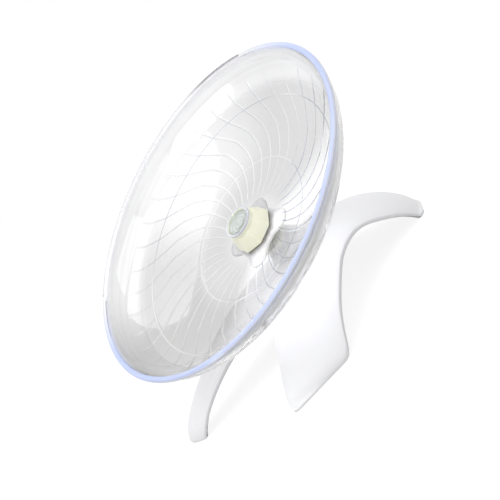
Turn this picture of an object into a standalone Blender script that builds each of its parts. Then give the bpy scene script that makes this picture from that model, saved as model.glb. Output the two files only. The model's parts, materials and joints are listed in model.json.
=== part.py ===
"""Flying saucer wheel for small pets: a tilted bowl that turns on a ball bearing above a four-legged stand."""

import bmesh
import bpy
import numpy as np
from math import atan2, cos, exp, hypot, log, pi, radians, sin, sqrt
from mathutils import Vector

mm = 0.001

# General clearances and mesh settings
seat_gap = 0.3 * mm
cut_overrun = 2.0 * mm
merge_distance = 0.01 * mm
smooth_angle = radians(35)
hub_steps = 36
bearing_steps = 24
neck_steps = 32

# Saucer: an elliptical bowl with a rolled lip, two raised rings and a set of swirling ribs
mouth_radius = 87.0 * mm
bowl_depth = 30.3 * mm
bowl_wall = 2.2 * mm
lip_width = 3.3 * mm
lip_height = 2.4 * mm
bowl_hole_radius = 9.3 * mm
rib_count = 34
rib_height = 0.9 * mm
rib_half_width = 1.0 * mm
rib_start_radius = 22.0 * mm
rib_end_radius = 82.2 * mm
ring_height = 0.8 * mm
ring_half_width = 0.9 * mm
inner_ring_radius = 39.5 * mm
outer_ring_radius = 70.3 * mm
bowl_row_shares = (0.11, 0.19, 0.27, 0.36, 0.53, 0.62, 0.71, 0.9, 0.965)
shell_row_shares = (0.97, 0.9, 0.78, 0.6, 0.38, 0.11)
swirl_radius_shares = (0.0, 0.24, 0.3, 0.39, 0.49, 0.64, 0.71, 0.78, 0.87, 1.0)
swirl_angle_shares = (0.78, 0.82, 0.98, 1.0, 0.92, 0.61, 0.37, 0.16, 0.0, 0.0)
swirl_angle = radians(-24.5)
rib_phase = radians(-0.9)

# Placement of the saucer: how far its bowl's floor stands above the crown and ahead of the socket
hub_rise = 24.25 * mm
hub_center_reach = 15.42 * mm
saucer_tilt = radians(26.2)
saucer_heading = radians(18.3)

# Hub: a flared housing through the saucer, a lobed lock nut under it, a badge and a lens on its face
housing_height = 11.0 * mm
housing_face_radius = 8.7 * mm
housing_waist_radius = 8.9 * mm
housing_flare_radius = 11.2 * mm
housing_flare_height = 6.8 * mm
housing_collar_height = 1.6 * mm
housing_spigot_length = 7.0 * mm
housing_sides = 6
housing_flat_depth = 1.1 * mm
face_recess_radius = 7.2 * mm
face_recess_depth = 3.0 * mm
badge_thickness = 0.8 * mm
lens_thickness = 1.4 * mm
lens_lip_width = 0.9 * mm
nut_cavity_radius = 5.6 * mm
nut_cavity_height = 4.4 * mm
lock_nut_ring_radius = 13.5 * mm
lock_nut_thickness = 2.4 * mm
lock_nut_lobes = 4
lock_nut_turn = radians(-5)
lock_nut_lobe_offset = 13.2 * mm
lock_nut_lobe_radius = 4.6 * mm

# Ball bearing in the housing
bearing_bore_radius = 3.3 * mm
bearing_outer_radius = 7.5 * mm
bearing_width = 5.0 * mm
inner_race_wall = 1.1 * mm
outer_race_wall = 1.0 * mm
bearing_shoulder = 1.2 * mm
ball_count = 7
ball_radius = 0.75 * mm
cage_thickness = 0.5 * mm
cage_wall = 0.8 * mm
shield_thickness = 0.35 * mm
retainer_thickness = 0.9 * mm
retainer_inner_radius = 6.1 * mm

# Axle, its nut and washer, and the spacer under the bearing
axle_radius = 3.0 * mm
axle_grip_length = 8.0 * mm
axle_nut_height = 2.2 * mm
axle_nut_radius = 4.6 * mm
axle_washer_radius = 4.2 * mm
axle_washer_thickness = 0.6 * mm
axle_tail = 0.4 * mm
spacer_radius = 4.3 * mm
neck_clearance = 2.6 * mm

# Neck: an upright spigot and shoulder, and a bell that leans over to the axle's tilt
neck_top_radius = 8.6 * mm
neck_foot_radius = 13.4 * mm
neck_edge = 0.8 * mm
neck_shoulder_radius = 15.0 * mm
neck_shoulder_height = 2.2 * mm
neck_row_shares = (0.0, 0.18, 0.36, 0.55, 0.75)
neck_flare_power = 2.2
spigot_radius = 10.7 * mm
bore_radius_gap = 0.3 * mm
bore_end_clearance = 1.0 * mm

# Stand: a four-legged shell with arches between its legs
crown_height = 31.56 * mm
crown_radius = 12.4 * mm
leg_center_setback = 7.2 * mm
stand_wall = 2.4 * mm
front_leg_reach = 114.6 * mm
rear_leg_reach = 55.0 * mm
front_leg_angle = radians(32.5)
rear_leg_angle = radians(129.1)
front_foot_half_width = 15.9 * mm
rear_foot_half_width = 12.3 * mm
front_root_half_width = 25.2 * mm
rear_root_half_width = 28.5 * mm
leg_corner_softness = 2.6 * mm
web_softness = 15.2 * mm
web_core_radius = 12.4 * mm
flange_depth = 1.5 * mm
edge_drop = 1.4 * mm
edge_width = 6.0 * mm
foot_sink = 0.6 * mm
dome_width_power = 2.02
dome_height_power = 0.72
outline_steps = 76
outline_samples = 720
outline_search_steps = 60
outline_halvings = 20
stand_row_shares = (0.0, 0.14, 0.3, 0.47, 0.63, 0.78, 0.9, 0.97)
leg_blend_power = 8

# Screw and washer that hold the neck from below
base_washer_radius = 15.0 * mm
base_washer_thickness = 1.6 * mm
screw_radius = 2.0 * mm
screw_head_radius = 4.2 * mm
screw_head_height = 2.6 * mm
screw_length = 8.0 * mm
screw_hole_gap = 0.3 * mm
screw_end_clearance = 0.8 * mm

# Sizes that follow from the ones above
lip_radius = mouth_radius + lip_width
hub_center_height = crown_height + hub_rise
lip_center_reach = hub_center_reach + (bowl_depth - lip_height / 2) * sin(saucer_tilt)
housing_spigot_radius = bowl_hole_radius - seat_gap
bearing_top = -seat_gap - bearing_shoulder
bearing_bottom = bearing_top - bearing_width
bearing_pocket_radius = bearing_outer_radius + seat_gap
housing_bottom = -housing_spigot_length - bowl_wall
neck_top = housing_bottom - neck_clearance
race_gap_inner = bearing_bore_radius + inner_race_wall
race_gap_outer = bearing_outer_radius - outer_race_wall
ball_track_radius = (race_gap_inner + race_gap_outer) / 2
base_inner_height = crown_height - stand_wall
spigot_bottom = base_inner_height + seat_gap


def clear_scene():
    for item in list(bpy.data.objects):
        bpy.data.objects.remove(item, do_unlink=True)


def new_collection(name):
    group = bpy.data.collections.new(name)
    bpy.context.scene.collection.children.link(group)
    return group


def new_material(name, color, roughness, metallic=0.0, alpha=1.0):
    material = bpy.data.materials.new(name)
    material.use_nodes = True
    shader = material.node_tree.nodes["Principled BSDF"]
    shader.inputs["Base Color"].default_value = (*color, 1.0)
    shader.inputs["Roughness"].default_value = roughness
    shader.inputs["Metallic"].default_value = metallic
    shader.inputs["Alpha"].default_value = alpha
    return material


def link_object(name, mesh, group, parent=None, material=None):
    item = bpy.data.objects.new(name, mesh)
    group.objects.link(item)
    item.parent = parent
    if material:
        mesh.materials.append(material)
    return item


def turned(name, outline, steps, group, parent=None, material=None, closed=True):
    """Turn an outline of (radius, height) pairs round Z; it runs down the outer side first."""
    mesh = bpy.data.meshes.new(name)
    count = len(outline)
    edges = [(i, i + 1) for i in range(count - 1)]
    if closed:
        edges.append((count - 1, 0))
    mesh.from_pydata([(radius, 0.0, height) for radius, height in outline], edges, [])
    item = link_object(name, mesh, group, parent, material)
    screw = item.modifiers.new("Turn", "SCREW")
    screw.axis = "Z"
    screw.steps = steps
    screw.render_steps = steps
    screw.use_merge_vertices = True
    screw.merge_threshold = merge_distance
    return item


def shade(item):
    item.data.shade_smooth()
    item.data.set_sharp_from_angle(angle=smooth_angle)


def bake(item):
    """Replace an object's mesh by what its modifiers make of it."""
    bpy.context.view_layer.update()
    depsgraph = bpy.context.evaluated_depsgraph_get()
    mesh = bpy.data.meshes.new_from_object(item.evaluated_get(depsgraph))
    item.modifiers.clear()
    item.data = mesh
    shade(item)
    return item


def as_cutter(item):
    item.hide_render = True
    item.display_type = "WIRE"
    return item


def combine(item, other, operation):
    tool = item.modifiers.new(operation.title(), "BOOLEAN")
    tool.operation = operation
    tool.solver = "EXACT"
    tool.object = other


def ring_outline(inner, outer, bottom, top):
    return [(outer, top), (outer, bottom), (inner, bottom), (inner, top)]


def bowl_height(radius):
    """Height of the bowl's inner surface above its middle."""
    share = min(radius / mouth_radius, 1.0)
    return bowl_depth * (1.0 - sqrt(1.0 - share * share))


def bowl_normal(radius):
    """Unit normal (radial, upward) of the bowl's inner surface, pointing into the bowl."""
    share = min(radius / mouth_radius, 1.0)
    across = bowl_depth * share
    upward = mouth_radius * sqrt(1.0 - share * share)
    size = hypot(across, upward)
    return -across / size, upward / size


def bowl_outline():
    lip_top = bowl_depth
    lip_bottom = lip_top - lip_height
    corner = lip_height / 4
    points = [(lip_radius - corner, lip_top), (lip_radius, lip_top - corner),
              (lip_radius, lip_bottom + corner), (lip_radius - corner, lip_bottom)]
    for share in shell_row_shares:
        radius = share * mouth_radius
        inward, upward = bowl_normal(radius)
        points.append((radius - inward * bowl_wall, bowl_height(radius) - upward * bowl_wall))
    points[-1] = (bowl_hole_radius, points[-1][1])
    rows = [share * mouth_radius for share in bowl_row_shares]
    rows[0] = bowl_hole_radius
    for center in (inner_ring_radius, outer_ring_radius):
        rows += [center - ring_half_width, center, center + ring_half_width]
    for radius in sorted(rows):
        on_ring = radius in (inner_ring_radius, outer_ring_radius)
        rise = ring_height if on_ring else 0.0
        inward, upward = bowl_normal(radius)
        points.append((radius + inward * rise, bowl_height(radius) + upward * rise))
    points.append((mouth_radius, lip_top - corner))
    points.append((mouth_radius + corner, lip_top))
    return points


def swirl(radius):
    """Angle by which the ribs lag behind their outer ends at a radius."""
    share = radius / lip_radius
    return swirl_angle * float(np.interp(share, swirl_radius_shares, swirl_angle_shares))


def rib_rise(radius):
    fade = rib_half_width * 2
    start = min(max((radius - rib_start_radius) / fade, 0.0), 1.0)
    end = min(max((rib_end_radius - radius) / fade, 0.0), 1.0)
    return rib_height * start * end


def build_saucer(group, parent, material):
    """The turned bowl gets three columns per rib, its crest and two flanks, all drawn along the swirl."""
    columns_per_rib = 3
    columns = rib_count * columns_per_rib
    saucer = bake(turned("saucer_dish", bowl_outline(), columns, group, parent, material))
    pitch = 2 * pi / rib_count
    inner_limit = (bowl_wall - ring_height) / 2
    for vertex in saucer.data.vertices:
        x, y, height = vertex.co
        radius = hypot(x, y)
        column = round(atan2(y, x) / (2 * pi) * columns) % columns
        rib = round(column / columns_per_rib)
        place = column - rib * columns_per_rib
        even = pitch / columns_per_rib
        spread = min(max((radius - rib_end_radius) / (mouth_radius - rib_end_radius), 0.0), 1.0)
        flank = min(rib_half_width / radius, even)
        flank += (even - flank) * spread
        offset = (0.0, flank, -flank)[place]
        angle = rib_phase + rib * pitch + offset + swirl(radius)
        inside = radius < mouth_radius and height > bowl_height(radius) - inner_limit
        if place == 0 and inside:
            rise = rib_rise(radius)
            inward, upward = bowl_normal(radius)
            radius += inward * rise
            height += upward * rise
        vertex.co = (radius * cos(angle), radius * sin(angle), height)
    shade(saucer)


def build_housing(group, cutters, parent, material):
    """Flared hub with flats round its waist, a face recess, a nut cavity and a bearing pocket."""
    top = housing_height
    edge = lens_lip_width / 2
    outline = [(0.0, top), (housing_face_radius - edge, top), (housing_face_radius, top - edge),
               (housing_waist_radius, housing_flare_height), (housing_flare_radius, housing_collar_height),
               (housing_flare_radius, seat_gap), (housing_spigot_radius, seat_gap),
               (housing_spigot_radius, housing_bottom), (0.0, housing_bottom)]
    housing = bake(turned("hub_housing", outline, hub_steps, group, parent, material, closed=False))
    for index in range(housing_sides):
        angle = 2 * pi * index / housing_sides
        bpy.ops.mesh.primitive_cube_add(size=1.0)
        cutter = bpy.context.object
        cutter.name = f"flat_cutter_{index + 1}"
        reach = housing_flare_radius - housing_flat_depth
        cutter.scale = (housing_flat_depth * 4, housing_flare_radius, housing_flare_height)
        distance = reach + housing_flat_depth * 2
        rise = housing_collar_height + housing_flare_height / 2
        cutter.location = (distance * cos(angle), distance * sin(angle), rise)
        cutter.rotation_euler = (0.0, 0.0, angle)
        bpy.ops.object.transform_apply(location=False, rotation=True, scale=True)
        move_to(cutter, cutters, parent)
        combine(housing, cutter, "DIFFERENCE")
    nut_top = bearing_top + seat_gap + nut_cavity_height
    pocket = turned("housing_core_cutter", [
        (0.0, nut_top), (nut_cavity_radius, nut_top), (nut_cavity_radius, bearing_top + seat_gap),
        (bearing_pocket_radius, bearing_top + seat_gap), (bearing_pocket_radius, housing_bottom - cut_overrun),
        (0.0, housing_bottom - cut_overrun)], hub_steps, cutters, parent, closed=False)
    combine(housing, as_cutter(pocket), "DIFFERENCE")
    recess_floor = top - face_recess_depth
    recess = turned("housing_face_cutter", [
        (0.0, top + cut_overrun), (face_recess_radius, top + cut_overrun), (face_recess_radius, recess_floor),
        (0.0, recess_floor)], hub_steps, cutters, parent, closed=False)
    combine(housing, as_cutter(recess), "DIFFERENCE")


def move_to(item, group, parent=None):
    for owner in list(item.users_collection):
        owner.objects.unlink(item)
    group.objects.link(item)
    item.parent = parent
    return as_cutter(item)


def build_face(group, parent, badge_material, lens_material):
    """Badge disc in the housing's recess, and the clear lens cap over it."""
    floor = housing_height - face_recess_depth + seat_gap
    radius = face_recess_radius - seat_gap
    badge_top = floor + badge_thickness
    turned("hub_badge", [(0.0, badge_top), (radius, badge_top), (radius, floor), (0.0, floor)],
           hub_steps, group, parent, badge_material, closed=False)
    lens_floor = badge_top + seat_gap
    lens_top = housing_height + lens_thickness / 2
    dish = lens_thickness / 4
    turned("hub_lens", [(0.0, lens_top - dish), (radius - lens_lip_width * 2, lens_top - dish),
                        (radius - lens_lip_width, lens_top), (radius - dish, lens_top), (radius, lens_top - dish),
                        (radius, lens_floor), (0.0, lens_floor)],
           hub_steps, group, parent, lens_material, closed=False)


def build_lock_nut(group, cutters, parent, material):
    """Lobed hand nut that clamps the saucer against the housing from below."""
    top = -bowl_wall - seat_gap
    bottom = top - lock_nut_thickness
    bore = housing_spigot_radius + seat_gap
    nut = turned("hub_lock_nut", ring_outline(bore, lock_nut_ring_radius, bottom, top),
                 hub_steps, group, parent, material)
    bake(nut)
    for index in range(lock_nut_lobes):
        angle = lock_nut_turn + 2 * pi * index / lock_nut_lobes
        lobe = turned(f"lock_nut_lobe_{index + 1}", [
            (0.0, top), (lock_nut_lobe_radius, top), (lock_nut_lobe_radius, bottom), (0.0, bottom)],
            bearing_steps, cutters, parent, closed=False)
        lobe.location = (lock_nut_lobe_offset * cos(angle), lock_nut_lobe_offset * sin(angle), 0.0)
        combine(nut, as_cutter(lobe), "UNION")
    hole = turned("lock_nut_bore_cutter", [
        (0.0, top + cut_overrun), (bore, top + cut_overrun), (bore, bottom - cut_overrun),
        (0.0, bottom - cut_overrun)], hub_steps, cutters, parent, closed=False)
    combine(nut, as_cutter(hole), "DIFFERENCE")


def build_bearing(group, saucer_axis, cage_axis, neck_axis, steel, brass):
    """Outer race and shields turn with the hub, the inner race stands still, the cage rolls between."""
    top = bearing_top
    bottom = bearing_bottom
    middle = (top + bottom) / 2
    groove = ball_radius / 2
    turned("bearing_outer_race", [
        (bearing_outer_radius, top), (bearing_outer_radius, bottom), (race_gap_outer, bottom),
        (race_gap_outer, middle - groove), (race_gap_outer + groove, middle), (race_gap_outer, middle + groove),
        (race_gap_outer, top)], bearing_steps, group, saucer_axis, steel)
    turned("bearing_inner_race", [
        (race_gap_inner, top), (race_gap_inner, middle + groove), (race_gap_inner - groove, middle),
        (race_gap_inner, middle - groove), (race_gap_inner, bottom), (bearing_bore_radius, bottom),
        (bearing_bore_radius, top)], bearing_steps, group, neck_axis, steel)
    for name, height in (("bearing_shield_upper", top - shield_thickness), ("bearing_shield_lower", bottom)):
        turned(name, ring_outline(race_gap_inner + seat_gap, race_gap_outer - seat_gap, height,
                                  height + shield_thickness), bearing_steps, group, saucer_axis, steel)
    cage_height = middle + ball_radius + seat_gap
    turned("bearing_cage", ring_outline(ball_track_radius - cage_wall / 2, ball_track_radius + cage_wall / 2,
                                        cage_height, cage_height + cage_thickness),
           bearing_steps, group, cage_axis, brass)
    for index in range(ball_count):
        angle = 2 * pi * index / ball_count
        bpy.ops.mesh.primitive_ico_sphere_add(subdivisions=2, radius=ball_radius)
        ball = bpy.context.object
        ball.name = f"bearing_ball_{index + 1}"
        ball.data.name = ball.name
        for owner in list(ball.users_collection):
            owner.objects.unlink(ball)
        group.objects.link(ball)
        ball.parent = cage_axis
        ball.location = (ball_track_radius * cos(angle), ball_track_radius * sin(angle), middle)
        ball.data.materials.append(steel)
        ball.data.shade_smooth()
    retainer_top = bottom - seat_gap
    turned("bearing_retainer", ring_outline(retainer_inner_radius, bearing_outer_radius,
                                            retainer_top - retainer_thickness, retainer_top),
           bearing_steps, group, saucer_axis, steel)


def build_axle(group, parent, steel):
    """Pin through the bearing, with the washer and nut above it and the spacer below."""
    washer_floor = bearing_top + seat_gap
    washer_top = washer_floor + axle_washer_thickness
    nut_floor = washer_top + seat_gap
    nut_top = nut_floor + axle_nut_height
    pin_top = nut_top + axle_tail
    pin_bottom = neck_top - axle_grip_length
    edge = axle_tail
    turned("axle_pin", [(0.0, pin_top), (axle_radius - edge, pin_top), (axle_radius, pin_top - edge),
                        (axle_radius, pin_bottom + edge), (axle_radius - edge, pin_bottom), (0.0, pin_bottom)],
           bearing_steps, group, parent, steel, closed=False)
    turned("axle_washer", ring_outline(bearing_bore_radius, axle_washer_radius, washer_floor, washer_top),
           bearing_steps, group, parent, steel)
    hexagon = 6
    turned("axle_nut", ring_outline(bearing_bore_radius, axle_nut_radius, nut_floor, nut_top),
           hexagon * 4, group, parent, steel)
    shape_hexagon(bpy.data.objects["axle_nut"], axle_nut_radius, hexagon)
    turned("bearing_spacer", ring_outline(bearing_bore_radius, spacer_radius, neck_top + seat_gap,
                                          bearing_bottom - seat_gap), bearing_steps, group, parent, steel)


def shape_hexagon(item, radius, sides):
    """Draw a turned rim in to flats between its corners."""
    bake(item)
    half = pi / sides
    for vertex in item.data.vertices:
        x, y, height = vertex.co
        if hypot(x, y) > radius - seat_gap:
            angle = atan2(y, x)
            away = (angle % (2 * half)) - half
            size = radius * cos(half) / cos(away)
            vertex.co = (size * cos(angle), size * sin(angle), height)
    shade(item)


def build_neck(group, cutters, socket_axis, tilt_axis, material):
    """The turned neck's bell is leant over, row by row, until its top lies square to the axle."""
    shoulder_floor = crown_height + seat_gap
    shoulder_top = shoulder_floor + neck_shoulder_height
    top_height = hub_center_height + neck_top * cos(saucer_tilt)
    top_reach = hub_center_reach + neck_top * sin(saucer_tilt)
    bell_height = top_height - shoulder_top
    bell = [(0.0, top_height), (neck_top_radius - neck_edge, top_height), (neck_top_radius, top_height - neck_edge)]
    for share in reversed(neck_row_shares):
        swell = (1.0 - share) ** neck_flare_power
        radius = neck_top_radius + (neck_foot_radius - neck_top_radius) * swell
        bell.append((radius, shoulder_top + share * bell_height))
    neck = turned("neck", bell + [
        (neck_shoulder_radius - neck_edge, shoulder_top), (neck_shoulder_radius, shoulder_top - neck_edge),
        (neck_shoulder_radius, shoulder_floor), (spigot_radius, shoulder_floor),
        (spigot_radius, spigot_bottom), (0.0, spigot_bottom)], neck_steps, group, socket_axis, material,
        closed=False)
    bake(neck)
    heading = Vector((sin(saucer_heading), -cos(saucer_heading), 0.0))
    for vertex in neck.data.vertices:
        share = (vertex.co.z - shoulder_top) / bell_height
        if share <= 0.0:
            continue
        flat = Vector((vertex.co.x, vertex.co.y, 0.0))
        lean = saucer_tilt * share
        along = flat.dot(heading)
        across = flat - heading * along
        level = shoulder_top + share * bell_height
        drift = top_reach * share
        vertex.co = across + heading * (drift + along * cos(lean)) + Vector((0.0, 0.0, level - along * sin(lean)))
    shade(neck)
    bore_radius = axle_radius + bore_radius_gap
    bore_end = neck_top - axle_grip_length - bore_end_clearance
    bore = turned("neck_bore_cutter", [
        (0.0, neck_top + cut_overrun), (bore_radius, neck_top + cut_overrun), (bore_radius, bore_end),
        (0.0, bore_end)], bearing_steps, cutters, tilt_axis, closed=False)
    combine(neck, as_cutter(bore), "DIFFERENCE")
    hole_radius = screw_radius + screw_hole_gap
    hole_top = base_screw_top() + screw_end_clearance
    hole = turned("neck_screw_cutter", [
        (0.0, hole_top), (hole_radius, hole_top), (hole_radius, spigot_bottom - cut_overrun),
        (0.0, spigot_bottom - cut_overrun)], bearing_steps, cutters, socket_axis, closed=False)
    combine(neck, as_cutter(hole), "DIFFERENCE")


def base_screw_top():
    return base_inner_height - seat_gap * 2 - base_washer_thickness + screw_length


def leg_plans():
    """Bearing, reach, foot and root half width of each leg; zero looks along -Y and grows towards +X."""
    front = (front_leg_reach, front_foot_half_width, front_root_half_width)
    rear = (rear_leg_reach, rear_foot_half_width, rear_root_half_width)
    return ((front_leg_angle, *front), (-front_leg_angle, *front),
            (rear_leg_angle, *rear), (-rear_leg_angle, *rear))


def soft_least(first, second, softness):
    least = min(first, second)
    return least - softness * log(exp((least - first) / softness) + exp((least - second) / softness))


def stand_field(bearing, distance):
    """Positive inside the stand's plan, zero on its outline."""
    values = [web_core_radius - distance]
    for leg_bearing, reach, foot, root in leg_plans():
        along = distance * cos(bearing - leg_bearing)
        across = abs(distance * sin(bearing - leg_bearing))
        if along <= 0.0:
            continue
        share = min(along / reach, 1.0)
        half_width = root + (foot - root) * share * share
        values.append(soft_least(half_width - across, reach - along, leg_corner_softness))
    highest = max(values)
    return highest + web_softness * log(sum(exp((value - highest) / web_softness) for value in values))


def outline_distance(bearing):
    """Distance of the stand's outline along a bearing, found from outside by halving."""
    outer = front_leg_reach + web_softness
    step = outer / outline_search_steps
    while stand_field(bearing, outer - step) < 0.0:
        outer -= step
    inner = outer - step
    for _ in range(outline_halvings):
        middle = (inner + outer) / 2
        if stand_field(bearing, middle) > 0.0:
            inner = middle
        else:
            outer = middle
    return (inner + outer) / 2


def stand_outline():
    """Outline points evenly spaced along the stand's plan, seen from where the legs meet."""
    bearings = [2 * pi * index / outline_samples for index in range(outline_samples + 1)]
    points = [Vector((outline_distance(b) * sin(b), -outline_distance(b) * cos(b))) for b in bearings]
    run = [0.0]
    for first, second in zip(points, points[1:]):
        run.append(run[-1] + (second - first).length)
    wanted = [run[-1] * index / outline_steps for index in range(outline_steps)]
    xs = np.interp(wanted, run, [point.x for point in points])
    ys = np.interp(wanted, run, [point.y for point in points])
    return [Vector((x, y)) for x, y in zip(xs, ys)]


def leg_reach_at(bearing):
    """Reach blended from the legs on either side of a bearing."""
    total = 0.0
    weight_sum = 0.0
    for leg_bearing, reach, _, _ in leg_plans():
        weight = ((1.0 + cos(bearing - leg_bearing)) / 2) ** leg_blend_power
        total += weight * reach
        weight_sum += weight
    return total / weight_sum


def dome_height(bearing, distance):
    """Height of the stand's top: a flat crown, a dome falling to the feet, and rounded edges."""
    reach = leg_reach_at(bearing)
    share = min(max((distance - crown_radius) / (reach - crown_radius), 0.0), 1.0)
    fall = (1.0 - share ** dome_width_power) ** dome_height_power
    foot = flange_depth + edge_drop - foot_sink
    inset = min(max(stand_field(bearing, distance) / edge_width, 0.0), 1.0)
    rounding = 1.0 - sqrt(1.0 - (1.0 - inset) ** 2)
    return foot + (crown_height - foot) * fall - edge_drop * rounding


def build_stand(group, cutters, socket_axis, material):
    """A turned sheet drawn out to the stand's outline and down over its dome, then given a wall."""
    rows = list(stand_row_shares) + [1.0, 1.0]
    unit = crown_radius
    outline = [(unit * (index + 1), 0.0) for index in range(len(rows) - 1)]
    outline.append((unit * (len(rows) - 1), -unit))
    stand = turned("stand_base", outline, outline_steps, group, socket_axis, material, closed=False)
    bake(stand)
    leg_center = Vector((0.0, leg_center_setback))
    edge_points = [point + leg_center for point in stand_outline()]
    hole_radius = spigot_radius + seat_gap
    for vertex in stand.data.vertices:
        x, y, height = vertex.co
        row = round(hypot(x, y) / unit) - 1
        column = round(atan2(y, x) / (2 * pi) * outline_steps) % outline_steps
        target = edge_points[column]
        start = target.normalized() * hole_radius
        place = start.lerp(target, rows[row])
        plan = place - leg_center
        level = dome_height(atan2(plan.x, -plan.y), plan.length)
        if height < -unit / 2:
            level -= flange_depth
        vertex.co = (place.x, place.y, level)
    bm = bmesh.new()
    bm.from_mesh(stand.data)
    bmesh.ops.recalc_face_normals(bm, faces=bm.faces)
    if sum(face.normal.z * face.calc_area() for face in bm.faces) < 0.0:
        bmesh.ops.reverse_faces(bm, faces=bm.faces)
    bm.to_mesh(stand.data)
    bm.free()
    wall = stand.modifiers.new("Wall", "SOLIDIFY")
    wall.thickness = stand_wall
    wall.offset = -1.0
    bpy.ops.mesh.primitive_cube_add(size=1.0)
    floor_cutter = bpy.context.object
    floor_cutter.name = "stand_floor_cutter"
    span = 2 * (front_leg_reach + front_foot_half_width)
    floor_cutter.scale = (span, span, crown_height)
    floor_cutter.location = (0.0, 0.0, -crown_height / 2)
    bpy.ops.object.transform_apply(location=False, rotation=False, scale=True)
    move_to(floor_cutter, cutters, socket_axis)
    combine(stand, floor_cutter, "DIFFERENCE")


def build_fastening(group, socket_axis, steel):
    """Washer and pan-head screw that draw the neck's spigot down onto the crown."""
    washer_top = base_inner_height - seat_gap
    washer_floor = washer_top - base_washer_thickness
    bore = screw_radius + screw_hole_gap
    turned("base_washer", ring_outline(bore, base_washer_radius, washer_floor, washer_top),
           hub_steps, group, socket_axis, steel)
    head_top = washer_floor - seat_gap
    head_floor = head_top - screw_head_height
    round_step = screw_head_height / 4
    turned("base_screw", [
        (0.0, base_screw_top()), (screw_radius, base_screw_top()), (screw_radius, head_top),
        (screw_head_radius, head_top), (screw_head_radius, head_floor + round_step),
        (screw_head_radius - round_step, head_floor), (0.0, head_floor)],
        bearing_steps, group, socket_axis, steel, closed=False)


def heading_point(reach, height):
    """Place that far along the saucer's heading from the lip's middle, which lies above the origin."""
    distance = reach - lip_center_reach
    return Vector((distance * sin(saucer_heading), -distance * cos(saucer_heading), height))


def socket_frame(name, group):
    """Empty on the floor below the middle of the stand's socket."""
    frame = bpy.data.objects.new(name, None)
    group.objects.link(frame)
    frame.location = heading_point(0.0, 0.0)
    return frame


def tilt_frame(name, group):
    """Empty whose Z runs along the saucer's axle, at the middle of the bowl's floor."""
    frame = bpy.data.objects.new(name, None)
    group.objects.link(frame)
    frame.location = heading_point(hub_center_reach, hub_center_height)
    frame.rotation_euler = (saucer_tilt, 0.0, saucer_heading)
    return frame


def main():
    clear_scene()
    parts = new_collection("flying_saucer_wheel")
    cutters = new_collection("cutters")
    clear = new_material("clear_plastic", (0.93, 0.95, 0.97), 0.08, alpha=0.35)
    cream = new_material("cream_plastic", (0.82, 0.82, 0.62), 0.35)
    grey_green = new_material("badge_grey", (0.55, 0.6, 0.5), 0.4)
    frost = new_material("frosted_plastic", (0.78, 0.78, 0.82), 0.3, alpha=0.7)
    white = new_material("white_plastic", (0.93, 0.93, 0.94), 0.35)
    steel = new_material("steel", (0.6, 0.6, 0.62), 0.3, metallic=1.0)
    brass = new_material("cage_brass", (0.7, 0.55, 0.3), 0.35, metallic=1.0)

    socket_axis = socket_frame("socket_axis", parts)
    saucer_axis = tilt_frame("saucer_axis", parts)
    cage_axis = tilt_frame("cage_axis", parts)
    neck_axis = tilt_frame("neck_axis", parts)

    build_saucer(parts, saucer_axis, clear)
    build_housing(parts, cutters, saucer_axis, cream)
    build_face(parts, saucer_axis, grey_green, clear)
    build_lock_nut(parts, cutters, saucer_axis, frost)
    build_bearing(parts, saucer_axis, cage_axis, neck_axis, steel, brass)
    build_axle(parts, neck_axis, steel)
    build_neck(parts, cutters, socket_axis, neck_axis, white)
    build_stand(parts, cutters, socket_axis, white)
    build_fastening(parts, socket_axis, steel)


main()
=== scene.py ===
import json
import math

import bpy
from mathutils import Matrix, Vector


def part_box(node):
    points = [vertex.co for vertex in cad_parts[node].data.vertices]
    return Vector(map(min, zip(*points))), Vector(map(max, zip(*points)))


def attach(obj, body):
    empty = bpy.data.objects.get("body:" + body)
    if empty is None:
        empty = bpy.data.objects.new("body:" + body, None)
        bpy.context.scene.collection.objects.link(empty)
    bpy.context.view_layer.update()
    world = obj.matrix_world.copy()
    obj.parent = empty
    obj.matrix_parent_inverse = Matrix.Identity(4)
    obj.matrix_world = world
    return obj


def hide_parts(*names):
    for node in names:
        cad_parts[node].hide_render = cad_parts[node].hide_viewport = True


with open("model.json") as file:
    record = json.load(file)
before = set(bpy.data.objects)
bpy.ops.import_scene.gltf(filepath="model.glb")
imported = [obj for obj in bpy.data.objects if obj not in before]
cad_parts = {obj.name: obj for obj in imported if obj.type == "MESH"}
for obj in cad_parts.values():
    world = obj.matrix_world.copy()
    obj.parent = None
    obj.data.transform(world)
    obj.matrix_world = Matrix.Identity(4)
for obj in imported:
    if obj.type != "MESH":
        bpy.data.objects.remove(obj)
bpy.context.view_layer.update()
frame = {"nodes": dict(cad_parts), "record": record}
print("frame loaded")

# Where the saucer's axle stands, read from the frame's joint
joints = frame["record"]["behaviour"]["joints"]
saucerJoint = next(joint for joint in joints if joint["name"] == "saucer_spin")
axleFoot = Vector(saucerJoint["pos_m"])
axleUp = Vector(saucerJoint["axis"]).normalized()
axleTilt = math.acos(axleUp.z)
axleHeading = math.atan2(axleUp.x, -axleUp.y)
axlePlace = (Matrix.Translation(axleFoot) @ Matrix.Rotation(axleHeading, 4, "Z")
             @ Matrix.Rotation(axleTilt, 4, "X"))
socketLow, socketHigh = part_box("base_screw")
socketPoint = Vector(((socketLow[0] + socketHigh[0]) / 2, (socketLow[1] + socketHigh[1]) / 2, 0))


# Small helpers for modelling

def deselectAll():
    if bpy.context.object and bpy.context.object.mode != "OBJECT":
        bpy.ops.object.mode_set(mode="OBJECT")
    bpy.ops.object.select_all(action="DESELECT")


def takeOnly(thing):
    deselectAll()
    thing.select_set(True)
    bpy.context.view_layer.objects.active = thing


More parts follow.
